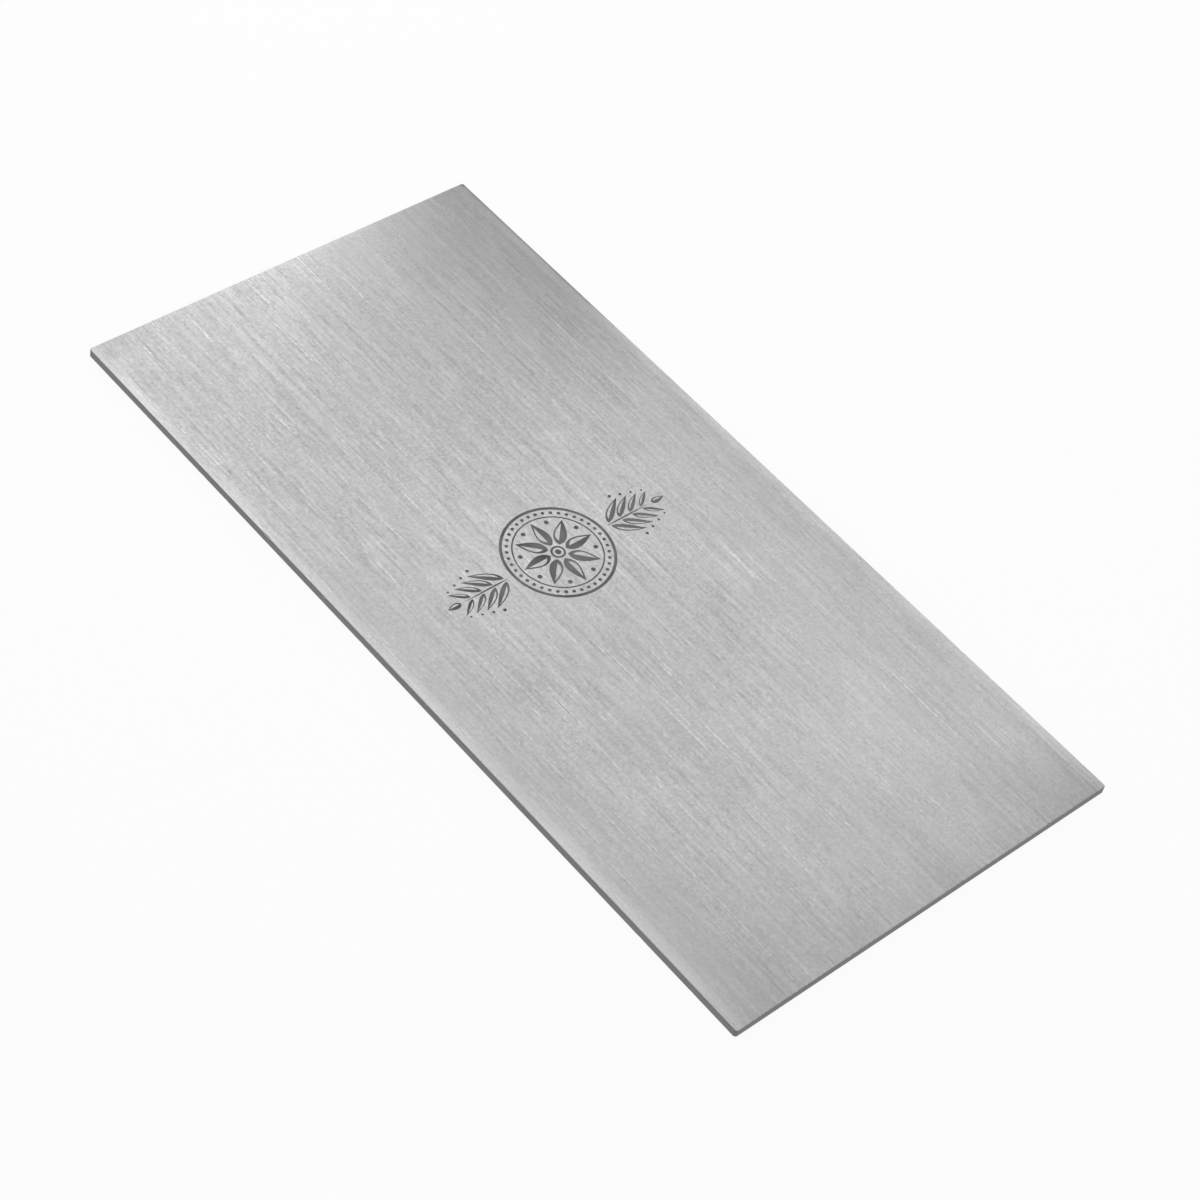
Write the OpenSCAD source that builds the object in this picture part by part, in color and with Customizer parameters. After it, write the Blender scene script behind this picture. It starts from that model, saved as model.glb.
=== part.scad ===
// Card scraper: one rectangular card of hardened and tempered spring steel.
// The card lies flat on z = 0 and is centred on the origin, with its length along X.
// All four edges are square to the faces. Only the corners are eased and the arrises broken.

/* [Card] */
// Length of the card, along its two long cutting edges
card_length = 125; // [100:0.5:150]
// Width of the card, between its two long cutting edges
card_width = 62; // [50:0.5:80]
// Thickness of the sheet
card_thickness = 1.2; // [0.5:0.1:1.6]

/* [Edges] */
// Radius of the four corners, seen from above
corner_radius = 0.4; // [0.25:0.05:3]
// Radius that breaks each arris, where a face meets an edge
arris_radius = 0.12; // [0.05:0.01:0.2]

/* [Hidden] */
$fn = 64;

// A cut straight through the card: span across, card_thickness high, standing on the x axis,
// with its four arrises broken.
module card_section(span) {
    translate([-span / 2, arris_radius])
        square([span, card_thickness - 2 * arris_radius]);
    translate([-span / 2 + arris_radius, 0])
        square([span - 2 * arris_radius, card_thickness]);
    for (side = [-1, 1], level = [arris_radius, card_thickness - arris_radius])
        translate([side * (span / 2 - arris_radius), level])
            circle(r = arris_radius);
}

// The card's section over one span, run out to the given length along Y.
module ground_bar(span, run) {
    translate([0, run / 2, 0])
        rotate([90, 0, 0])
            linear_extrude(height = run)
                card_section(span);
}

// One eased corner: half of the section over the corner's diameter, turned about its middle.
module eased_corner() {
    rotate_extrude()
        intersection() {
            card_section(2 * corner_radius);
            square([corner_radius, card_thickness]);
        }
}

// The whole card. Two bars cross and leave the corners' squares open, and the corners fill them.
module scraper_blade() {
    color("silver")
        union() {
            ground_bar(card_length, card_width - 2 * corner_radius);
            rotate([0, 0, 90])
                ground_bar(card_width, card_length - 2 * corner_radius);
            for (end = [-1, 1], side = [-1, 1])
                translate([
                    end * (card_length / 2 - corner_radius),
                    side * (card_width / 2 - corner_radius),
                    0
                ])
                    eased_corner();
        }
}

scraper_blade();
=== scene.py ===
"""Card scraper: a bare card of ground spring steel on a pale table, under soft studio light.

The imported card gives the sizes. This script gives the card its ground faces, its square-ground
edges with broken arrises, and an etched ornament, and sets up the table, the light and the camera.
Shapes are in metres, and the patterns of the finishes in millimetres. +X runs along the card, +Y
across it and +Z up through its thickness.
"""

import math

import bmesh
import bpy
from mathutils import Matrix, Vector


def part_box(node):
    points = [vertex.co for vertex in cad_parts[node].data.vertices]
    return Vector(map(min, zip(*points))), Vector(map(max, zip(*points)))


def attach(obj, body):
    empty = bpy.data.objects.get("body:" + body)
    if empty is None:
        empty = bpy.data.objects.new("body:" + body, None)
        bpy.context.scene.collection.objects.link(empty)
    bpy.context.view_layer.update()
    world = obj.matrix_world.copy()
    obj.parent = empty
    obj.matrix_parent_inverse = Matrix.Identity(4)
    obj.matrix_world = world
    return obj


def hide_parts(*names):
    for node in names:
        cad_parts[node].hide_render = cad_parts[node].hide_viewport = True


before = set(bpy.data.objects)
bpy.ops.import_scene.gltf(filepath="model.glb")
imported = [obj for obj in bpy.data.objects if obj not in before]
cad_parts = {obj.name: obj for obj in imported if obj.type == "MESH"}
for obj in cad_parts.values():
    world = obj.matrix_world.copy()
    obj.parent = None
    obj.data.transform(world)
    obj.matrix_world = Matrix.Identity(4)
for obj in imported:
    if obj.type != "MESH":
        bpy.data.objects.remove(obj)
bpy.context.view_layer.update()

bl_info = {
    "name": "Card Scraper",
    "version": (1, 0, 0),
    "blender": (4, 5, 0),
    "location": "3D View > Sidebar > Scraper",
    "description": "A ground steel card scraper with an etched ornament, its table and its studio light",
    "category": "Add Mesh",
}

CARD_LOW, CARD_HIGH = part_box("scraper_blade")
CARD_SPAN = CARD_HIGH - CARD_LOW
MM = 0.001
QUARTER_TURN = math.pi / 2


# Node trees written as plain arithmetic.

class Term:
    """One value in a node tree."""

    def __init__(self, tree, socket):
        self.tree = tree
        self.socket = socket

    def __add__(self, other):
        return work("ADD", self, other)

    def __radd__(self, other):
        return work("ADD", other, self)

    def __sub__(self, other):
        return work("SUBTRACT", self, other)

    def __rsub__(self, other):
        return work("SUBTRACT", other, self)

    def __mul__(self, other):
        return work("MULTIPLY", self, other)

    def __rmul__(self, other):
        return work("MULTIPLY", other, self)

    def __truediv__(self, other):
        return work("DIVIDE", self, other)


def plug(tree, value, socket):
    """Joins a term to a socket, or writes a plain value on it."""
    if isinstance(value, Term):
        tree.links.new(value.socket, socket)
    else:
        socket.default_value = value


def make(tree, kind, inputs=None, out=0, **settings):
    """Adds a node and returns one of its outputs. Inputs go by name, or by number where names repeat."""
    node = tree.nodes.new(kind)
    for name, value in settings.items():
        setattr(node, name, value)
    for name, value in (inputs or {}).items():
        for part in value if isinstance(value, list) else [value]:
            plug(tree, part, node.inputs[name])
    return Term(tree, node.outputs[out])


def work(operation, *values):
    """Adds one step of arithmetic."""
    tree = next(value.tree for value in values if isinstance(value, Term))
    return make(tree, "ShaderNodeMath", dict(enumerate(values)), operation=operation)


def held(value):
    """Keeps a value between 0 and 1."""
    term = work("ADD", value, 0.0)
    term.socket.node.use_clamp = True
    return term


def ease(value, low, high, start=0.0, end=1.0):
    """Goes smoothly from start to end as the value goes from low to high."""
    inputs = {"Value": value, "From Min": low, "From Max": high, "To Min": start, "To Max": end}
    return make(value.tree, "ShaderNodeMapRange", inputs, interpolation_type="SMOOTHSTEP")


def place(tree, x, y, z=0.0):
    """Puts three values together as a point."""
    return make(tree, "ShaderNodeCombineXYZ", {"X": x, "Y": y, "Z": z})


def parts_of(point):
    """Takes a point apart into its three values."""
    node = point.tree.nodes.new("ShaderNodeSeparateXYZ")
    plug(point.tree, point, node.inputs[0])
    return [Term(point.tree, output) for output in node.outputs]


def lay_out(tree):
    """Sets the nodes out in columns, from the inputs on the left to the output on the right."""
    column = {}
    waiting = [(node, 0) for node in tree.nodes if not any(s.is_linked for s in node.outputs)]
    while waiting:
        node, depth = waiting.pop()
        if column.get(node.name, -1) >= depth:
            continue
        column[node.name] = depth
        for socket in node.inputs:
            waiting.extend((link.from_node, depth + 1) for link in socket.links)
    rows = {}
    for node in tree.nodes:
        depth = column[node.name]
        node.location = (-220 * depth, -180 * rows.get(depth, 0))
        rows[depth] = rows.get(depth, 0) + 1


# Steps of geometry trees.

def joined(tree, *pieces):
    """Puts pieces of geometry together."""
    return make(tree, "GeometryNodeJoinGeometry", {"Geometry": list(pieces)})


def moved(tree, shape, x=0.0, y=0.0, z=0.0):
    """A shape moved by three distances."""
    return make(tree, "GeometryNodeTransform", {"Geometry": shape, "Translation": place(tree, x, y, z)})


def turned(tree, angle):
    """A turn about the upright axis."""
    return make(tree, "FunctionNodeAxisAngleToRotation", {"Axis": (0.0, 0.0, 1.0), "Angle": angle})


def shaded(tree, shape, smooth):
    """A shape with smooth or flat shading."""
    return make(tree, "GeometryNodeSetShadeSmooth", {"Geometry": shape, "Shade Smooth": smooth})


def circle(tree, radius, points):
    """A closed round line."""
    return make(tree, "GeometryNodeCurvePrimitiveCircle", {"Resolution": points, "Radius": radius})


def loop_through(tree, points, position):
    """A closed line whose points each go to a place of their own."""
    loop = circle(tree, 1.0 * MM, points)
    return make(tree, "GeometryNodeSetPosition", {"Geometry": loop, "Position": position})


def filled(tree, curves, height):
    """A flat sheet inside closed curves, at a height. Where one curve lies in another, it is a hole."""
    sheet = make(tree, "GeometryNodeFillCurve", {"Curve": curves}, mode="TRIANGLES")
    return moved(tree, shaded(tree, sheet, False), z=height)


# Sizes, finishes and light that a user may change.

class CardSizes(bpy.types.PropertyGroup):
    """Sizes of the card, its corners and arrises, and the nicks in these"""

    length: bpy.props.FloatProperty(
        name="Length", description="Length of the card, along its two long working edges",
        default=CARD_SPAN.x, min=0.05, subtype="DISTANCE", unit="LENGTH")
    width: bpy.props.FloatProperty(
        name="Width", description="Width of the card",
        default=CARD_SPAN.y, min=0.03, subtype="DISTANCE", unit="LENGTH")
    thickness: bpy.props.FloatProperty(
        name="Thickness", description="Thickness of the steel",
        default=CARD_SPAN.z, min=0.0004, subtype="DISTANCE", unit="LENGTH")
    corner_radius: bpy.props.FloatProperty(
        name="Corner Radius", description="Radius to which the four corners are eased",
        default=0.4 * MM, min=0.0002, subtype="DISTANCE", unit="LENGTH")
    arris_radius: bpy.props.FloatProperty(
        name="Arris Radius", description="Radius of the broken arrises between faces and edges",
        default=0.12 * MM, min=0.00002, subtype="DISTANCE", unit="LENGTH")
    nick_depth: bpy.props.FloatProperty(
        name="Nick Depth", description="Depth of the deepest nicks in the arrises",
        default=0.14 * MM, min=0.0, subtype="DISTANCE", unit="LENGTH")


class OrnamentSizes(bpy.types.PropertyGroup):
    """Place and sizes of the etched ornament, and how many motifs it has"""

    place_x: bpy.props.FloatProperty(
        name="Place Along", description="Middle of the ornament, along the card",
        default=-3.1 * MM, subtype="DISTANCE", unit="LENGTH")
    place_y: bpy.props.FloatProperty(
        name="Place Across", description="Middle of the ornament, across the card",
        default=-1.8 * MM, subtype="DISTANCE", unit="LENGTH")
    half_span: bpy.props.FloatProperty(
        name="Half Span", description="From the middle of the ornament to the tip of a spray",
        default=17.8 * MM, min=0.01, subtype="DISTANCE", unit="LENGTH")
    ring_radius: bpy.props.FloatProperty(
        name="Ring Radius", description="Outside radius of the round frame",
        default=7.5 * MM, min=0.003, subtype="DISTANCE", unit="LENGTH")
    line: bpy.props.FloatProperty(
        name="Line Width", description="Width of the broad etched lines",
        default=0.4 * MM, min=0.0001, subtype="DISTANCE", unit="LENGTH")
    depth: bpy.props.FloatProperty(
        name="Etched Depth", description="How deep the ornament is etched",
        default=0.03 * MM, min=0.005 * MM, subtype="DISTANCE", unit="LENGTH")
    petals: bpy.props.IntProperty(
        name="Petals", description="Petals of the rosette", default=8, min=3, max=16)
    beads: bpy.props.IntProperty(
        name="Beads", description="Beads round the rosette", default=40, min=8, max=80)
    leaf_pairs: bpy.props.IntProperty(
        name="Leaf Pairs", description="Pairs of leaves on each spray", default=4, min=2, max=6)


class SteelFinish(bpy.types.PropertyGroup):
    """Colours and grinding of the steel"""

    face_colour: bpy.props.FloatVectorProperty(
        name="Ground Faces", description="Colour of the ground faces",
        default=(0.455, 0.455, 0.455), size=3, min=0.0, max=1.0, subtype="COLOR")
    edge_colour: bpy.props.FloatVectorProperty(
        name="Ground Edges", description="Colour of the coarser ground edges",
        default=(0.2, 0.2, 0.2), size=3, min=0.0, max=1.0, subtype="COLOR")
    etched_colour: bpy.props.FloatVectorProperty(
        name="Etched Lines", description="Colour of the etched ornament",
        default=(0.15, 0.15, 0.15), size=3, min=0.0, max=1.0, subtype="COLOR")
    roughness: bpy.props.FloatProperty(
        name="Roughness", description="Roughness of the ground faces",
        default=0.28, min=0.05, max=1.0, subtype="FACTOR")
    lip_width: bpy.props.FloatProperty(
        name="Honed Lip", description="Width of the honed band along each long edge",
        default=1.6 * MM, min=0.0, subtype="DISTANCE", unit="LENGTH")
    grain: bpy.props.FloatProperty(
        name="Grain Contrast", description="How much the grinding grain varies the colour",
        default=0.1, min=0.0, max=0.5, subtype="FACTOR")


class StudioSet(bpy.types.PropertyGroup):
    """The table and the brightness of the studio round it"""

    table_size: bpy.props.FloatProperty(
        name="Table Size", description="Side of the pale table",
        default=4.0, min=1.0, subtype="DISTANCE", unit="LENGTH")
    table_colour: bpy.props.FloatVectorProperty(
        name="Table Colour", description="Colour of the pale table",
        default=(0.85, 0.85, 0.85), size=3, min=0.0, max=1.0, subtype="COLOR")
    table_whiteness: bpy.props.FloatProperty(
        name="Table Whiteness", description="How far the table looks plain white, over its own shading",
        default=0.93, min=0.0, max=1.0, subtype="FACTOR")
    horizon: bpy.props.FloatProperty(
        name="Horizon", description="Brightness of the studio walls", default=1.0, min=0.0)
    ceiling: bpy.props.FloatProperty(
        name="Ceiling", description="Brightness of the studio ceiling", default=0.85, min=0.0)
    behind_panels: bpy.props.FloatProperty(
        name="Behind the Panels", description="Brightness of the ceiling behind the soft panels",
        default=0.42, min=0.0)


# The card's edges and the outline of its faces.

# How finely they are divided: steps round a corner, along a side, round an arris and up an edge.
CORNER_STEPS = 8
SIDE_STEPS = 480
ARRIS_STEPS = 4
EDGE_STEPS = 4
STEPS_ROUND = 4 * (CORNER_STEPS + SIDE_STEPS)
STEPS_UP = 2 * ARRIS_STEPS + EDGE_STEPS

# The pattern of the nicks in the arrises: how many steps of the edge make one unit of it, its scale,
# how far apart it is read for the two arrises, its seed, and the values where a nick starts and
# where it is full.
NICK_STEPS = 4.0
NICK_SCALE = 0.55
NICKS_APART = 7.3
NICK_SEED = 3
NICK_STARTS = 0.66
NICK_FULL = 0.76


def outline(step, sizes, inset):
    """x and y of a step round the card: four corner arcs joined by four straight sides."""
    corner = sizes["Corner Radius"]
    arc_share = CORNER_STEPS / (CORNER_STEPS + SIDE_STEPS)
    turn = work("MODULO", step * (4.0 / STEPS_ROUND), 4.0)
    quarter = work("FLOOR", turn)
    part = turn - quarter
    arc = held(part / arc_share)
    run = held((part - arc_share) / (1.0 - arc_share))
    facing = (quarter + arc) * QUARTER_TURN
    this_corner = (quarter + 0.5) * QUARTER_TURN
    next_corner = (quarter + 1.5) * QUARTER_TURN
    found = []
    for wave, span in (("COSINE", sizes["Length"]), ("SINE", sizes["Width"])):
        reach = (span / 2.0 - corner) * math.sqrt(2)
        start = work(wave, this_corner) * reach
        end = work(wave, next_corner) * reach
        found.append(start + (end - start) * run + work(wave, facing) * (corner - inset))
    return found


def edge_section(row, thickness, arris):
    """Angle, inset and height of a row of the edge: lower arris, flat ground side, upper arris."""
    share = ARRIS_STEPS / STEPS_UP
    up = row / STEPS_UP
    angle = (held(up / share) + held((up - (1 - share)) / share)) * QUARTER_TURN
    climb = held((up - share) / (1 - 2 * share))
    inset = arris * (1.0 - work("SINE", angle))
    height = arris + (thickness - arris * 2.0) * climb - arris * work("COSINE", angle)
    return angle, inset, height


def nicks(tree, step, angle, seed):
    """How deep the arrises are nicked, from 0 to 1: short places with long stretches between them."""
    along = work("MODULO", step, STEPS_ROUND) / NICK_STEPS
    # The angle goes from 0 to pi, so this is 0 on the lower arris and 1 on the upper one.
    which_arris = work("ROUND", angle / 3.0)
    pattern = make(tree, "ShaderNodeTexNoise",
                   {"Vector": place(tree, along, which_arris * NICKS_APART, seed),
                    "Scale": NICK_SCALE, "Detail": 1.0})
    on_arris = work("ABSOLUTE", work("SINE", angle * 2.0))
    return ease(pattern, NICK_STARTS, NICK_FULL) * on_arris


def rim(tree, sizes):
    """The edges of the card, with their arrises and the small nicks that use has left in these."""
    rows = STEPS_UP + 1
    grid = make(tree, "GeometryNodeMeshGrid", {"Vertices X": STEPS_ROUND + 1, "Vertices Y": rows})
    index = make(tree, "GeometryNodeInputIndex")
    step = work("FLOOR", index / rows)
    row = index - step * rows
    angle, inset, height = edge_section(row, sizes["Thickness"], sizes["Arris Radius"])
    nick = sizes["Nick Depth"] * nicks(tree, step, angle, sizes["Seed"])
    inset = inset + nick * work("SINE", angle)
    height = height + nick * work("COSINE", angle)
    x, y = outline(step, sizes, inset)
    shape = make(tree, "GeometryNodeSetPosition",
                 {"Geometry": grid, "Position": place(tree, x, y, height)})
    return shaded(tree, shape, True)


def face_outline(tree, sizes):
    """The line where the faces meet the arrises, as a closed curve."""
    index = make(tree, "GeometryNodeInputIndex")
    x, y = outline(index, sizes, sizes["Arris Radius"])
    return loop_through(tree, STEPS_ROUND, place(tree, x, y))


# The ornament.

# The rosette: how far in from its outside the inner ring, the beads and the drops lie, where the
# petals start and end, and the sizes of all these.
INNER_RING_INSET = 1.55 * MM
BEAD_INSET = 0.95 * MM
BEAD_RADIUS = 0.25 * MM
DROP_INSET = 2.5 * MM
DROP_RADIUS = 0.32 * MM
PETAL_START = 1.25 * MM
PETAL_TIP_INSET = 2.0 * MM
PETAL_HALF_WIDTH = 0.88 * MM
PETAL_LINE = 0.17 * MM
EYE_RING_RADIUS = 1.0 * MM
EYE_RADIUS = 0.42 * MM

# Widths of the two thinner rings, over the width of the outer one.
INNER_RING_LINE = 0.5
EYE_RING_LINE = 0.7

# The sprays: the gap to the rosette, the stem, the leaves on it, their berries, and the end leaf.
SPRAY_GAP = 0.65 * MM
STEM_HALF_WIDTH = 0.12 * MM
LEAF_START = 0.4 * MM
LEAF_LENGTH = 4.7 * MM
LEAF_HALF_WIDTH = 0.58 * MM
LEAF_LINE = 0.15 * MM
LEAF_BEND = -0.03 / MM
LEAF_TURN = 0.8
BERRY_ALONG = 5.1 * MM
BERRY_ASIDE = 0.15 * MM
BERRY_RADIUS = 0.24 * MM
END_LEAF_GAP = 0.2 * MM
END_LEAF_LENGTH = 2.1 * MM
END_LEAF_HALF_WIDTH = 0.48 * MM
END_LEAF_LINE = 0.12 * MM

# Where the first leaf stands, over the distance between leaves, and how much smaller than a leaf at
# the stem's foot one at its tip would be.
FIRST_LEAF = 0.12
LEAF_SHRINK = 0.5

# A leaf is widest in its middle where this is 1, and nearer its foot where it is less.
LEAF_SWELL = 0.7

# The bare half of a shaded leaf: its start and length over those of the leaf, and its inset and its
# distance from the midrib over the width of the line.
BARE_START = 0.15
BARE_LENGTH = 0.7
BARE_INSET = 1.6
BARE_FROM_MIDRIB = 0.3


def ring(tree, radius, line, points):
    """A round line with a width, by its outside radius."""
    return joined(tree, circle(tree, radius, points), circle(tree, radius - line, points))


def leaf(tree, start, length, low, high, base=0.0, bend=0.0, points=28):
    """A closed pointed shape along +X, with a lower and an upper half width, widest near its foot."""
    share = make(tree, "GeometryNodeInputIndex") / points
    along = 1.0 - work("ABSOLUTE", 1.0 - share * 2.0)
    upper = work("LESS_THAN", share, 0.5)
    swell = work("ABSOLUTE", work("SINE", work("POWER", along, LEAF_SWELL) * math.pi))
    side = (low + (high - low) * upper) * swell + base
    reach = along * length + start
    return loop_through(tree, points, place(tree, reach, side + reach * reach * bend))


def shaded_leaf(tree, start, length, half_width, line, bend=0.0):
    """A leaf with one half filled and the other only outlined, as engravers shade them."""
    whole = leaf(tree, start, length, -half_width, half_width, bend=bend)
    bare = leaf(tree, start + length * BARE_START, length * BARE_LENGTH, 0.0,
                half_width - line * BARE_INSET, base=line * BARE_FROM_MIDRIB, bend=bend, points=20)
    return joined(tree, whole, bare)


def round_array(tree, shape, count, offset=0.0):
    """A shape repeated round the middle, turned on by a share of the distance between two."""
    dots = make(tree, "GeometryNodePoints", {"Count": count})
    number = make(tree, "GeometryNodeInputIndex")
    angle = (number + offset) * (2 * math.pi) / count
    return make(tree, "GeometryNodeInstanceOnPoints",
                {"Points": dots, "Instance": shape, "Rotation": turned(tree, angle)})


def rosette(tree, sizes):
    """Half-shaded petals round an eye, with drops between them, in a beaded double ring."""
    radius = sizes["Ring Radius"]
    line = sizes["Line Width"]
    petal_length = radius - (PETAL_START + PETAL_TIP_INSET)
    petal = shaded_leaf(tree, PETAL_START, petal_length, PETAL_HALF_WIDTH, PETAL_LINE)
    bead = moved(tree, circle(tree, BEAD_RADIUS, points=10), radius - BEAD_INSET)
    drop = moved(tree, circle(tree, DROP_RADIUS, points=12), radius - DROP_INSET)
    return joined(tree,
                  ring(tree, radius, line, points=96),
                  ring(tree, radius - INNER_RING_INSET, line * INNER_RING_LINE, points=80),
                  ring(tree, EYE_RING_RADIUS, line * EYE_RING_LINE, points=24),
                  round_array(tree, bead, sizes["Beads"], offset=0.5),
                  round_array(tree, petal, sizes["Petals"]),
                  round_array(tree, drop, sizes["Petals"], offset=0.5),
                  circle(tree, EYE_RADIUS, points=16))


def leaf_row(tree, count, foot, tip, side):
    """The leaves on one side of a stem, each with a berry. They shrink towards the stem's tip."""
    at = (make(tree, "GeometryNodeInputIndex") + FIRST_LEAF) / count
    knots = make(tree, "GeometryNodePoints",
                 {"Count": count, "Position": place(tree, foot + at * (tip - foot), 0.0)})
    size = 1.0 - at * LEAF_SHRINK
    blade = shaded_leaf(tree, LEAF_START, LEAF_LENGTH, LEAF_HALF_WIDTH, LEAF_LINE, bend=LEAF_BEND)
    berry = moved(tree, circle(tree, BERRY_RADIUS, points=12), BERRY_ALONG, BERRY_ASIDE)
    return make(tree, "GeometryNodeInstanceOnPoints",
                {"Points": knots, "Instance": joined(tree, blade, berry),
                 "Rotation": turned(tree, side * LEAF_TURN),
                 "Scale": place(tree, size, size * side, size)})


def spray(tree, sizes):
    """The right-hand spray: a straight stem, a row of leaves on each side of it, and an end leaf."""
    foot = sizes["Ring Radius"] + SPRAY_GAP
    tip = sizes["Half Span"] - (END_LEAF_GAP + END_LEAF_LENGTH)
    stem = leaf(tree, foot, tip - foot, -STEM_HALF_WIDTH, STEM_HALF_WIDTH, points=40)
    rows = [leaf_row(tree, sizes["Leaf Pairs"], foot, tip, side) for side in (1.0, -1.0)]
    end = shaded_leaf(tree, tip + END_LEAF_GAP, END_LEAF_LENGTH, END_LEAF_HALF_WIDTH, END_LEAF_LINE)
    return joined(tree, stem, *rows, end)


def ornament(tree, sizes):
    """Closed curves of the etched ornament: a rosette with a leafy spray on each side."""
    right = spray(tree, sizes)
    left = make(tree, "GeometryNodeTransform", {"Geometry": right, "Scale": (-1.0, 1.0, 1.0)})
    drawn = joined(tree, rosette(tree, sizes), left, right)
    laid = make(tree, "GeometryNodeTransform",
                {"Geometry": drawn, "Rotation": turned(tree, QUARTER_TURN),
                 "Translation": place(tree, sizes["Ornament Along"], sizes["Ornament Across"])})
    return make(tree, "GeometryNodeRealizeInstances", {"Geometry": laid})


def etched_walls(tree, drawn, sizes):
    """The upright walls of the etched lines, down from the upper face."""
    wire = make(tree, "GeometryNodeCurveToMesh", {"Curve": drawn})
    lines = moved(tree, wire, z=sizes["Thickness"])
    walls = make(tree, "GeometryNodeExtrudeMesh",
                 {"Mesh": lines, "Offset": place(tree, 0.0, 0.0, -1.0),
                  "Offset Scale": sizes["Etched Depth"]}, mode="EDGES")
    return shaded(tree, walls, False)


# The card's tree.

# Points closer than this are merged.
WELD = 0.001 * MM

# Limits for the parts of a face's normal: where its upright part is under the first, the face has
# the finish of an edge, and where a part is over the second, it has the map of an end or of a face.
EDGE_LIMIT = 0.72
MAP_LIMIT = 0.7

# Units of the map to a metre: the length of the card is one unit.
MAP_SCALE = 8.0

# The etched faces: how far under the upper face they are at least, how far under their own floor at
# most, and how far across the card from the ornament's middle, over its half span.
SUNK_AT_LEAST = 0.002 * MM
UNDER_FLOOR = 0.01 * MM
NEAR_ACROSS = 1.3


def new_tree(name, inputs):
    """A geometry tree with named inputs. Returns the tree, its input terms and their identifiers."""
    tree = bpy.data.node_groups.new(name, "GeometryNodeTree")
    identifiers = {}
    for label, kind in inputs:
        socket = tree.interface.new_socket(name=label, in_out="INPUT", socket_type=kind)
        identifiers[label] = socket.identifier
    tree.interface.new_socket(name="Geometry", in_out="OUTPUT", socket_type="NodeSocketGeometry")
    group_input = tree.nodes.new("NodeGroupInput")
    terms = {label: Term(tree, group_input.outputs[label]) for label, _ in inputs}
    return tree, terms, identifiers


def with_map(tree, body, normal):
    """Adds a UV map whose first direction runs along each face or edge, for the grinding direction."""
    x, y, z = parts_of(make(tree, "GeometryNodeInputPosition"))
    normal_x, _, normal_z = parts_of(normal)
    is_end = work("GREATER_THAN", work("ABSOLUTE", normal_x), MAP_LIMIT)
    is_face = work("GREATER_THAN", work("ABSOLUTE", normal_z), MAP_LIMIT)
    first = x + (y - x) * is_end
    second = z + (y - z) * is_face
    return make(tree, "GeometryNodeStoreNamedAttribute",
                {"Geometry": body, "Name": "UVMap",
                 "Value": place(tree, first * MAP_SCALE, second * MAP_SCALE)},
                data_type="FLOAT2", domain="CORNER")


def etched_faces(tree, sizes):
    """1 on the floor and walls of the etched lines, and 0 elsewhere."""
    x, y, z = parts_of(make(tree, "GeometryNodeInputPosition"))
    top = sizes["Thickness"]
    floor = top - sizes["Etched Depth"]
    half_span = sizes["Half Span"]
    along = work("ABSOLUTE", x - sizes["Ornament Along"])
    across = work("ABSOLUTE", y - sizes["Ornament Across"])
    near = work("LESS_THAN", across, half_span * NEAR_ACROSS) * work("LESS_THAN", along, half_span)
    sunk = near * work("LESS_THAN", z, top - SUNK_AT_LEAST)
    return sunk * work("GREATER_THAN", z, floor - UNDER_FLOOR)


def with_materials(tree, body, normal, sizes):
    """Gives the faces, the edges and the etched lines their materials."""
    is_edge = work("LESS_THAN", work("ABSOLUTE", parts_of(normal)[2]), EDGE_LIMIT)
    is_etched = etched_faces(tree, sizes)
    for label, chosen in (("Ground Face", None), ("Ground Edge", is_edge), ("Etched Line", is_etched)):
        inputs = {"Geometry": body, "Material": sizes[label]}
        if chosen:
            inputs["Selection"] = chosen
        body = make(tree, "GeometryNodeSetMaterial", inputs)
    return body


def card_tree():
    """The whole card: edges, two faces, and the ornament sunk in the upper face."""
    lengths = ("Length", "Width", "Thickness", "Corner Radius", "Arris Radius", "Nick Depth",
               "Ornament Along", "Ornament Across", "Half Span", "Ring Radius", "Line Width",
               "Etched Depth")
    inputs = [(label, "NodeSocketFloat") for label in lengths]
    inputs += [(label, "NodeSocketInt") for label in ("Petals", "Beads", "Leaf Pairs", "Seed")]
    inputs += [(label, "NodeSocketMaterial") for label in ("Ground Face", "Ground Edge", "Etched Line")]
    tree, sizes, identifiers = new_tree("card_scraper_body", inputs)
    top = sizes["Thickness"]
    edge_line = face_outline(tree, sizes)
    drawn = ornament(tree, sizes)
    upper = filled(tree, joined(tree, edge_line, drawn), top)
    lower = make(tree, "GeometryNodeFlipFaces", {"Mesh": filled(tree, edge_line, 0.0)})
    sunk = filled(tree, drawn, top - sizes["Etched Depth"])
    walls = etched_walls(tree, drawn, sizes)
    pieces = joined(tree, rim(tree, sizes), upper, lower, sunk, walls)
    body = make(tree, "GeometryNodeMergeByDistance", {"Geometry": pieces, "Distance": WELD})
    normal = make(tree, "GeometryNodeFieldOnDomain", {"Value": make(tree, "GeometryNodeInputNormal")},
                  domain="FACE", data_type="FLOAT_VECTOR")
    body = with_map(tree, body, normal)
    body = make(tree, "GeometryNodeRealizeInstances", {"Geometry": body})
    body = with_materials(tree, body, normal, sizes)
    output = tree.nodes.new("NodeGroupOutput")
    plug(tree, body, output.inputs["Geometry"])
    lay_out(tree)
    return tree, identifiers


# The finishes. Their lengths are in mm.

# How far apart patterns with neighbouring seeds are read.
SEED_STEP_X = 3.17
SEED_STEP_Y = 5.41

# Noise is flat on whole numbers and the lower face is at 0, so patterns are read this far off it.
OFF_WHOLE = 0.4

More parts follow.
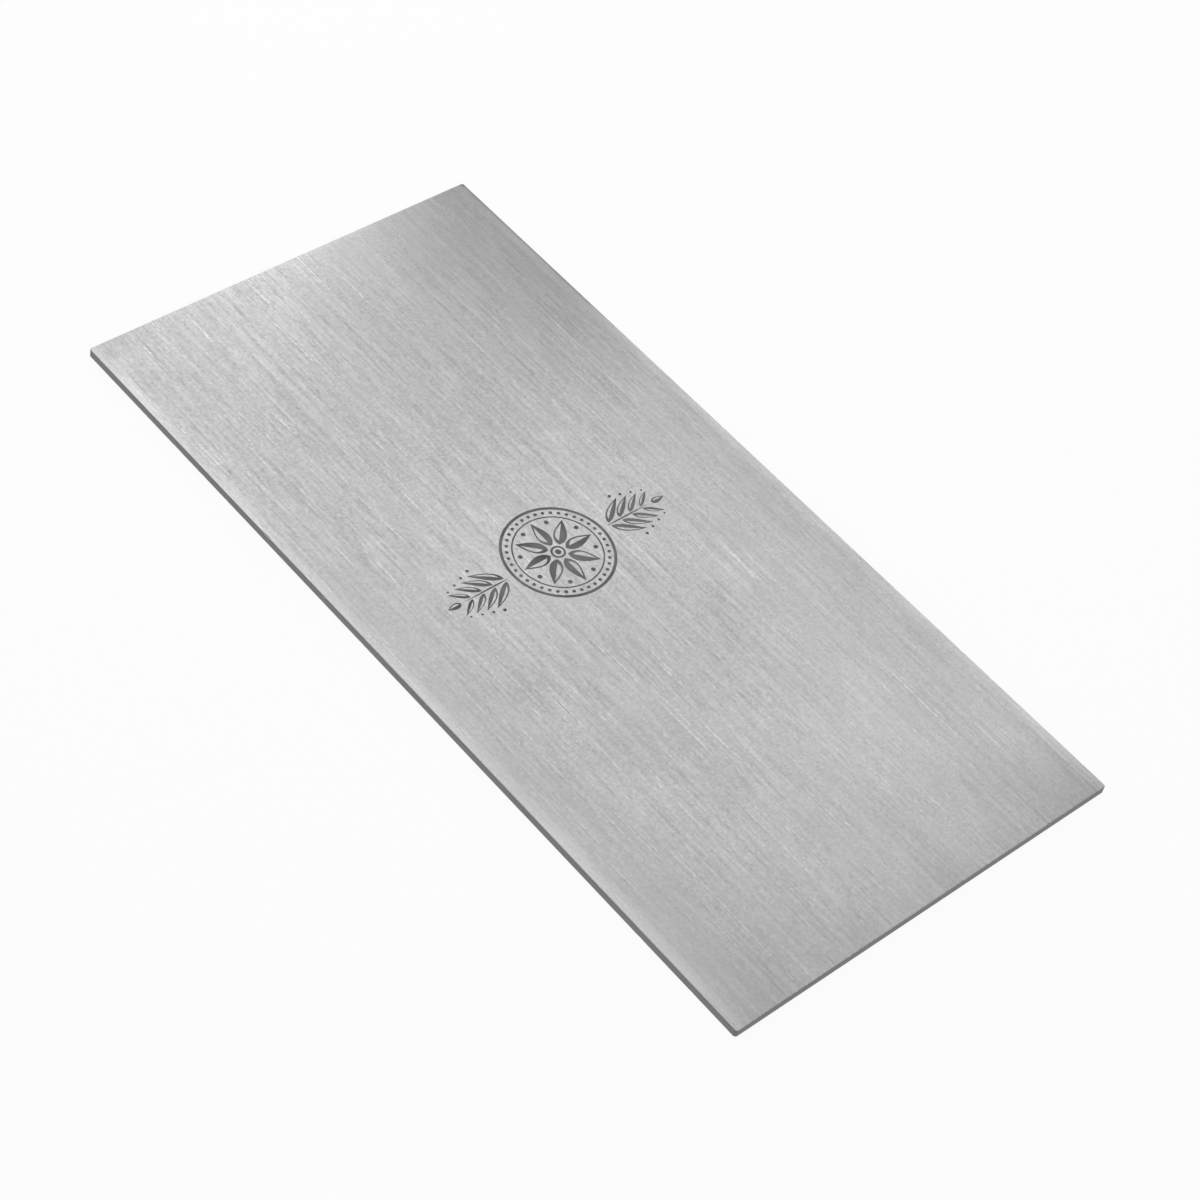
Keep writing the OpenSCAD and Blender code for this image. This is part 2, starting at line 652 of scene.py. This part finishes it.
# Marks of the grinding: length, width, seed and strength of each layer.
FINE_MARKS = ((0.9, 0.4, 3, 0.35), (2.6, 0.4, 4, 0.5), (7.0, 0.42, 5, 0.66))
BROAD_MARKS = ((20.0, 0.46, 6, 0.46), (7.0, 1.8, 7, 0.2), (35.0, 4.0, 8, 0.18))
SPECKLE_STRENGTH = 0.85
SMEAR_STRENGTH = 0.6

# Scratches, short and long: length, width, seed, the value from which one shows, how far aside its
# dark side lies, and the strength of its pale side. Every scratch is full at one value.
SCRATCHES = ((3.2, 0.22, 9, 0.85, 0.2, 0.8), (11.0, 0.24, 10, 0.9, 0.22, 1.0))
SCRATCH_FULL = 1.4

# Where the marks are stronger or weaker: x and y of the middle, stretch along the card, the two
# distances between which the strength changes, and the strengths inside and outside them.
MARK_PLACES = ((-22.0, -14.0, 1.8, 24.0, 48.0, 0.98, 0.7),
               (-62.0, 31.0, 1.0, 15.0, 50.0, 0.68, 1.0),
               (-64.0, -3.0, 1.0, 4.0, 13.0, 1.38, 1.0),
               (15.0, -6.0, 1.5, 2.0, 14.0, 0.8, 1.0),
               (-36.0, -30.0, 2.5, 2.0, 7.0, 1.2, 1.0))

# Painted shading of the faces' slow waviness, in patches: x and y of the middle, stretch along
# the card, reach, and change there.
WAVINESS_SHADE_PATCHES = ((0.0, -3.0, 3.0, 15.0, -0.04),
                (62.0, -16.0, 1.0, 18.0, -0.06),
                (34.0, 14.0, 1.4, 14.0, 0.045),
                (-36.0, 28.0, 3.0, 8.0, -0.045),
                (20.0, -31.0, 6.0, 8.0, 0.08),
                (-41.0, -29.0, 2.5, 6.0, 0.05))

# How much the tone of a face rises in a scratch, in the painted highlight of a lip or on the painted
# lit side of a dent, how much it falls on the dark side of a scratch or in the painted shadow of the
# dark line, and how much of the grain a lip hides.
PALE_SCRATCH = 0.26
DARK_SCRATCH = 0.07
LIP_HIGHLIGHT = 0.15
BACK_EDGE_SHADOW_TONE = 0.28
DENT_SHADE_TONE = 0.12
LIP_HIDES_GRAIN = 0.35


def new_material(name, metallic):
    """A material with a metal shader. Returns it, its tree, the shader and the point x, y, z in mm."""
    material = bpy.data.materials.new(name)
    material.use_nodes = True
    tree = material.node_tree
    tree.nodes.clear()
    shader = tree.nodes.new("ShaderNodeBsdfPrincipled")
    shader.inputs["Metallic"].default_value = metallic
    output = tree.nodes.new("ShaderNodeOutputMaterial")
    tree.links.new(shader.outputs[0], output.inputs["Surface"])
    texture = tree.nodes.new("ShaderNodeTexCoord")
    point = [part / MM for part in parts_of(Term(tree, texture.outputs["Object"]))]
    return material, tree, shader, point


def noise(tree, point, spans, seed, detail=0.0):
    """A soft pattern around 0, about 1 either way, whose spots have three spans along x, y and z."""
    x, y, z = [part / span for part, span in zip(point, spans)]
    pattern = make(tree, "ShaderNodeTexNoise",
                   {"Vector": place(tree, x + seed * SEED_STEP_X, y + seed * SEED_STEP_Y, z),
                    "Scale": 1.0, "Detail": detail})
    return (pattern - 0.5) * 4.0


def grey(tree, value, colour):
    """A colour whose brightness varies."""
    mix = tree.nodes.new("ShaderNodeVectorMath")
    mix.operation = "SCALE"
    mix.inputs[0].default_value = colour
    plug(tree, value, mix.inputs["Scale"])
    return Term(tree, mix.outputs[0])


def roughen(tree, shader, height, strength, distance):
    """Gives a shader small relief from a pattern."""
    bump = make(tree, "ShaderNodeBump", {"Height": height, "Strength": strength, "Distance": distance})
    plug(tree, bump, shader.inputs["Normal"])


class GroundFace:
    """A point on the card's faces, and patterns there that run along the card."""

    def __init__(self, tree, point, sizes):
        self.tree = tree
        self.x, self.y, self.z = point
        self.half_length = sizes.length / MM / 2
        self.half_width = sizes.width / MM / 2

    def layer(self, long, wide, seed, aside=0.0):
        """A soft pattern of spots with a length and a width, moved aside by a distance."""
        point = (self.x, self.y + aside, self.z + OFF_WHOLE)
        return noise(self.tree, point, (long, wide, 1.0), seed)

    def marks(self, layers):
        """The sum of several layers, each with its strength."""
        return sum(self.layer(long, wide, seed) * strength for long, wide, seed, strength in layers)

    def away(self, x, y, stretch=1.0):
        """Distance from a place. A stretch makes lengths along the card count less."""
        along, across = (self.x - x) / stretch, self.y - y
        return work("SQRT", along * along + across * across)


def mark_strength(face):
    """How strongly marks show, place by place. Beside most of the front edge they are weaker."""
    strength = 1.0
    for x, y, stretch, near, far, inside, outside in MARK_PLACES:
        strength = ease(face.away(x, y, stretch), near, far, inside, outside) * strength
    front = ease(face.y, -28.0, -20.0, 0.3, 0.0) * ease(face.x, -28.0, -13.0)
    return strength * (1.0 - front)


def scratches(face, speckle):
    """Pale scratches along the card, broken up by the speckle, each with a fainter dark side."""
    pale, dark = 0.0, 0.0
    for long, wide, seed, shows, aside, strength in SCRATCHES:
        pale = ease(face.layer(long, wide, seed), shows, SCRATCH_FULL) * strength + pale
        dark = ease(face.layer(long, wide, seed, aside), shows, SCRATCH_FULL) + dark
    return pale * (speckle * 0.5 + 1.0) * PALE_SCRATCH - dark * DARK_SCRATCH


def honed_lips_and_highlight(face, lip_width):
    """The honed band beside each long edge, which carries a painted highlight, strongest at the left,
    and a painted highlight in a strip at the left end.
    """
    wander = face.layer(4.0, 60.0, 11) * 0.15
    into_lip = work("ABSOLUTE", face.y) + wander - (face.half_width - lip_width)
    lip = held(into_lip / lip_width) * 0.7 + ease(into_lip, -0.12, 0.2) * 0.3
    lip = lip * ease(face.layer(12.0, 60.0, 13), -0.6, 0.6, 0.7, 1.3)
    # Stronger towards the left end, where the lip's painted highlight is brightest.
    lip = lip * ease(face.x, -60.0, -20.0, 1.7, 1.0)
    # A painted highlight in a strip along the left end, fading away from its middle.
    strip = ease(face.x, 0.1 - face.half_length, 1.5 - face.half_length, 0.45, 0.0)
    return lip + strip * ease(face.away(-62.0, 0.0), 8.0, 26.0, 1.0, 0.0)


def painted_back_edge_shadow(face):
    """Painted shadow: the thin dark line beside the left part of the back edge, and the dark tip of its
    left corner.
    """
    line = ease(face.y, face.half_width - 0.5, face.half_width - 0.3)
    line = line * ease(face.x + face.layer(9.0, 60.0, 14) * 8.0, -40.0, -16.0, 1.0, 0.0)
    return line + ease(face.away(-face.half_length, face.half_width), 0.5, 1.0, 1.0, 0.0)


def painted_dent_shading(face):
    """Painted shading of small shallow dent marks, each with a painted lit side and a painted shaded
    side.
    """
    lit_side = ease(face.layer(1.0, 0.5, 16, aside=0.24), 1.1, 1.45)
    shaded_side = ease(face.layer(1.0, 0.5, 16), 1.1, 1.45)
    return lit_side - shaded_side


def painted_waviness_shading(face):
    """Painted shading of the slow waviness of the faces."""
    return sum(ease(face.away(x, y, stretch), 0.0, reach, change, 0.0)
               for x, y, stretch, reach, change in WAVINESS_SHADE_PATCHES)


def face_steel(finish, sizes):
    """Ground steel: grain and scratches along the card, honed lips with a painted highlight, and
    painted shading of small dent marks and of slow patches, with a painted shadow by the back edge.
    """
    material, tree, shader, point = new_material("ground_steel_face", 1.0)
    face = GroundFace(tree, point, sizes)
    strength = mark_strength(face)
    speckle = face.layer(0.34, 0.4, 1)
    smear = ease(face.layer(6.0, 1.1, 15), 0.7, 1.4)
    fine = face.marks(FINE_MARKS) * ease(face.layer(9.0, 3.5, 2), -0.6, 0.6, 0.65, 1.35)
    grain = speckle * SPECKLE_STRENGTH + fine + face.marks(BROAD_MARKS) + smear * SMEAR_STRENGTH
    grain = grain * strength
    lip = honed_lips_and_highlight(face, finish.lip_width / MM)
    tone = 1.0 + grain * (1.0 - lip * LIP_HIDES_GRAIN) * finish.grain
    # Painted light: the lips' highlight here, and below, the back edge's painted shadow, the dents'
    # painted shading and the slow patches' painted shading.
    tone = tone + scratches(face, speckle) * strength + lip * LIP_HIGHLIGHT
    tone = tone - painted_back_edge_shadow(face) * BACK_EDGE_SHADOW_TONE + painted_dent_shading(face) * DENT_SHADE_TONE + painted_waviness_shading(face)
    plug(tree, grey(tree, tone, finish.face_colour), shader.inputs["Base Color"])
    unevenness = fine * 0.01 + face.layer(9.0, 6.0, 12) * 0.012 - lip * 0.03
    plug(tree, unevenness + finish.roughness, shader.inputs["Roughness"])
    shader.inputs["Anisotropic"].default_value = 0.75
    shader.inputs["Anisotropic Rotation"].default_value = 0.25
    tangent = tree.nodes.new("ShaderNodeTangent")
    tangent.direction_type = "UV_MAP"
    tangent.uv_map = "UVMap"
    tree.links.new(tangent.outputs[0], shader.inputs["Tangent"])
    roughen(tree, shader, grain, strength=0.1, distance=0.0015 * MM)
    lay_out(tree)
    return material


def edge_steel(finish, sizes):
    """The coarser ground edges: streaks along each edge, painted arris shade, a little darker at the
    ends.
    """
    material, tree, shader, point = new_material("ground_steel_edge", 1.0)
    x, _, z = point
    streak = noise(tree, point, (1.6, 1.6, 0.12), 1, detail=1.0) * 0.5
    streak = streak + noise(tree, point, (9.0, 9.0, 0.5), 2) * 0.4
    middle = sizes.thickness / MM / 2
    half_length = sizes.length / MM / 2
    # Painted shade along the arrises: their tone is lowered where the edge rounds into the faces.
    arris = ease(work("ABSOLUTE", z - middle), middle - 0.28, middle - 0.1)
    end = ease(work("ABSOLUTE", x), half_length - 0.6, half_length - 0.3)
    tone = 1.0 + streak * 0.14 - arris * 0.16 - end * 0.1
    plug(tree, grey(tree, tone, finish.edge_colour), shader.inputs["Base Color"])
    plug(tree, streak * 0.05 + 0.5, shader.inputs["Roughness"])
    roughen(tree, shader, streak, strength=0.4, distance=0.01 * MM)
    lay_out(tree)
    return material


def etched_steel(finish):
    """The dull dark floor and walls of the etched lines."""
    material, tree, shader, point = new_material("etched_steel", 0.4)
    mottle = noise(tree, point, (0.25, 0.25, 0.25), 1, detail=2.0)
    drift = noise(tree, point, (2.5, 2.5, 2.5), 2)
    tone = 1.0 + mottle * 0.15 + drift * 0.3
    plug(tree, grey(tree, tone, finish.etched_colour), shader.inputs["Base Color"])
    plug(tree, mottle * 0.05 + 0.65, shader.inputs["Roughness"])
    roughen(tree, shader, mottle, strength=0.5, distance=0.005 * MM)
    lay_out(tree)
    return material


def table_material(studio):
    """A pale matt table that shows nearly white and still keeps the card's shadow."""
    material = bpy.data.materials.new("pale_table")
    material.use_nodes = True
    tree = material.node_tree
    tree.nodes.clear()
    path = tree.nodes.new("ShaderNodeLightPath")
    rays = ("Is Camera Ray", "Is Glossy Ray", "Is Transmission Ray")
    seen = held(sum(Term(tree, path.outputs[name]) for name in rays))
    diffuse = make(tree, "ShaderNodeBsdfDiffuse", {"Color": (*studio.table_colour, 1.0)})
    white = make(tree, "ShaderNodeEmission", {"Color": (1.0, 1.0, 1.0, 1.0), "Strength": 1.0})
    both = make(tree, "ShaderNodeMixShader", {0: seen * studio.table_whiteness, 1: diffuse, 2: white})
    output = tree.nodes.new("ShaderNodeOutputMaterial")
    plug(tree, both, output.inputs["Surface"])
    lay_out(tree)
    return material


# The stage.

# The gap between the card and the table, which keeps their faces apart.
TABLE_GAP = 0.02 * MM

# The studio's dome, in degrees: the direction of the soft panels, how far round it the ceiling is
# dim and where it is bright again, and the heights where the walls end and the ceiling starts.
PANELS_AZIMUTH = 128
PANELS_ELEVATION = 48
DIM_WITHIN = 30
BRIGHT_BEYOND = 65
WALL_TOP = 12
CEILING_START = 32

# The view of the photograph: angles in degrees, the camera's distance from the point that it looks
# at, that point's x and y, and the lens and the sensor in mm.
VIEW_AZIMUTH = 38.55
VIEW_ELEVATION = 48.09
VIEW_ROLL = 14.23
VIEW_DISTANCE = 387.9 * MM
VIEW_X = 5.81 * MM
VIEW_Y = -2.5 * MM
LENS = 94.23
SENSOR_WIDTH = 36.0


def toward(azimuth, elevation):
    """The direction at an angle round from +X and an angle up, in degrees."""
    round_angle, up_angle = math.radians(azimuth), math.radians(elevation)
    level = math.cos(up_angle)
    return Vector((math.cos(round_angle) * level, math.sin(round_angle) * level, math.sin(up_angle)))


def studio_world(studio):
    """A pale studio: white near the horizon, and dimmer behind the soft panels than elsewhere."""
    world = bpy.data.worlds.new("pale_studio")
    world.use_nodes = True
    tree = world.node_tree
    tree.nodes.clear()
    texture = tree.nodes.new("ShaderNodeTexCoord")
    direction = Term(tree, texture.outputs["Generated"])
    height = parts_of(direction)[2]
    nearness = make(tree, "ShaderNodeVectorMath",
                    {0: direction, 1: toward(PANELS_AZIMUTH, PANELS_ELEVATION)}, out=1,
                    operation="DOT_PRODUCT")
    ceiling = ease(nearness, math.cos(math.radians(BRIGHT_BEYOND)), math.cos(math.radians(DIM_WITHIN)),
                   studio.ceiling, studio.behind_panels)
    level = ease(height, math.sin(math.radians(WALL_TOP)), math.sin(math.radians(CEILING_START)),
                 studio.horizon, ceiling)
    background = make(tree, "ShaderNodeBackground", {"Color": (1.0, 1.0, 1.0, 1.0), "Strength": level})
    output = tree.nodes.new("ShaderNodeOutputWorld")
    plug(tree, background, output.inputs["Surface"])
    lay_out(tree)
    bpy.context.scene.world = world


def soft_panel(name, direction, distance, width, height, brightness):
    """A soft panel that faces the middle of the card, with its brightness over that of white."""
    lamp = bpy.data.lights.new(name, "AREA")
    lamp.shape = "RECTANGLE"
    lamp.size = width
    lamp.size_y = height
    lamp.energy = brightness * math.pi * width * height
    holder = bpy.data.objects.new(name, lamp)
    bpy.context.scene.collection.objects.link(holder)
    holder.location = direction * distance
    holder.rotation_euler = direction.to_track_quat("Z", "Y").to_euler()


def soft_panels():
    """The soft panels: one beyond the back edge, one beyond the left end, and a small one under that."""
    soft_panel("long_side_panel", toward(115.9, 51.4),
               distance=0.313, width=0.148, height=0.149, brightness=1.0)
    soft_panel("end_panel", toward(167.8, 47.4),
               distance=0.178, width=0.156, height=0.069, brightness=0.86)
    soft_panel("low_end_panel", toward(159.0, 25.1),
               distance=0.17, width=0.063, height=0.061, brightness=1.22)


def photo_camera():
    """The camera at the photograph's angle, rolled a little, close enough for its perspective."""
    aim = Vector((VIEW_X, VIEW_Y, CARD_HIGH.z))
    back = toward(VIEW_AZIMUTH - 90, VIEW_ELEVATION)
    right = toward(VIEW_AZIMUTH, 0)
    up = back.cross(right)
    roll = math.radians(VIEW_ROLL)
    side = right * math.cos(roll) + up * math.sin(roll)
    top = up * math.cos(roll) - right * math.sin(roll)
    camera = bpy.data.cameras.new("photo_camera")
    camera.lens = LENS
    camera.sensor_width = SENSOR_WIDTH
    camera.clip_start = 0.01
    camera.clip_end = 20.0
    holder = bpy.data.objects.new("photo_camera", camera)
    bpy.context.scene.collection.objects.link(holder)
    turn = Matrix((side, top, back)).transposed().to_4x4()
    holder.matrix_world = Matrix.Translation(aim + back * VIEW_DISTANCE) @ turn
    bpy.context.scene.camera = holder


# The operators.

def close_up(mesh):
    """Turns every face outward, and stops if the card isn't one closed shell."""
    shell = bmesh.new()
    shell.from_mesh(mesh)
    bmesh.ops.recalc_face_normals(shell, faces=shell.faces)
    open_edges = [edge for edge in shell.edges if not edge.is_manifold]
    volume = shell.calc_volume(signed=True)
    shell.to_mesh(mesh)
    shell.free()
    if open_edges or volume <= 0:
        raise RuntimeError(f"the card isn't closed: {len(open_edges)} open edges, volume {volume}")


class SCRAPER_OT_ground_card(bpy.types.Operator):
    """Make the ground steel card with its eased corners, broken arrises and etched ornament"""

    bl_idname = "scraper.ground_card"
    bl_label = "Ground Card"
    bl_options = {"REGISTER", "UNDO"}

    def execute(self, context):
        scene = context.scene
        sizes, drawn, finish = scene.scraper_card, scene.scraper_ornament, scene.scraper_finish
        tree, identifiers = card_tree()
        values = {
            "Length": sizes.length, "Width": sizes.width, "Thickness": sizes.thickness,
            "Corner Radius": sizes.corner_radius, "Arris Radius": sizes.arris_radius,
            "Nick Depth": sizes.nick_depth, "Ornament Along": drawn.place_x,
            "Ornament Across": drawn.place_y, "Half Span": drawn.half_span,
            "Ring Radius": drawn.ring_radius, "Line Width": drawn.line, "Etched Depth": drawn.depth,
            "Petals": drawn.petals, "Beads": drawn.beads, "Leaf Pairs": drawn.leaf_pairs,
            "Seed": NICK_SEED, "Ground Face": face_steel(finish, sizes),
            "Ground Edge": edge_steel(finish, sizes), "Etched Line": etched_steel(finish),
        }
        card = bpy.data.objects.new("ground_card", bpy.data.meshes.new("ground_card"))
        scene.collection.objects.link(card)
        modifier = card.modifiers.new("card_scraper_body", "NODES")
        modifier.node_group = tree
        for label, value in values.items():
            modifier[identifiers[label]] = value
        evaluated = card.evaluated_get(context.evaluated_depsgraph_get())
        mesh = bpy.data.meshes.new_from_object(evaluated)
        card.modifiers.remove(modifier)
        card.data = mesh
        mesh.name = "ground_card"
        if mesh.materials[0] is None:
            mesh.materials.pop(index=0)
        close_up(mesh)
        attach(card, "root")
        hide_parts("scraper_blade")
        return {"FINISHED"}


class SCRAPER_OT_studio(bpy.types.Operator):
    """Make the pale table, the soft studio light and the camera"""

    bl_idname = "scraper.studio"
    bl_label = "Table, Light and Camera"
    bl_options = {"REGISTER", "UNDO"}

    def execute(self, context):
        studio = context.scene.scraper_studio
        mesh = bpy.data.meshes.new("table")
        half = studio.table_size / 2
        level = CARD_LOW.z - TABLE_GAP
        corners = [(-half, -half, level), (half, -half, level), (half, half, level), (-half, half, level)]
        mesh.from_pydata(corners, [], [(0, 1, 2, 3)])
        mesh.materials.append(table_material(studio))
        table = bpy.data.objects.new("table", mesh)
        context.scene.collection.objects.link(table)
        studio_world(studio)
        soft_panels()
        photo_camera()
        context.scene.view_settings.view_transform = "Standard"
        return {"FINISHED"}


class SCRAPER_PT_panel(bpy.types.Panel):
    """Lists the scraper's operators and settings"""

    bl_idname = "SCRAPER_PT_panel"
    bl_label = "Card Scraper"
    bl_space_type = "VIEW_3D"
    bl_region_type = "UI"
    bl_category = "Scraper"

    def draw(self, context):
        for group in (context.scene.scraper_card, context.scene.scraper_ornament,
                      context.scene.scraper_finish, context.scene.scraper_studio):
            column = self.layout.column(align=True)
            for name in group.__annotations__:
                column.prop(group, name)
        self.layout.operator(SCRAPER_OT_ground_card.bl_idname)
        self.layout.operator(SCRAPER_OT_studio.bl_idname)


CLASSES = (CardSizes, OrnamentSizes, SteelFinish, StudioSet, SCRAPER_OT_ground_card, SCRAPER_OT_studio,
           SCRAPER_PT_panel)


def register():
    for item in CLASSES:
        bpy.utils.register_class(item)
    bpy.types.Scene.scraper_card = bpy.props.PointerProperty(type=CardSizes)
    bpy.types.Scene.scraper_ornament = bpy.props.PointerProperty(type=OrnamentSizes)
    bpy.types.Scene.scraper_finish = bpy.props.PointerProperty(type=SteelFinish)
    bpy.types.Scene.scraper_studio = bpy.props.PointerProperty(type=StudioSet)


def unregister():
    for name in ("scraper_card", "scraper_ornament", "scraper_finish", "scraper_studio"):
        delattr(bpy.types.Scene, name)
    for item in reversed(CLASSES):
        bpy.utils.unregister_class(item)


def main():
    """Makes the card and its stage."""
    register()
    bpy.ops.scraper.ground_card()
    bpy.ops.scraper.studio()


if __name__ == "__main__":
    main()
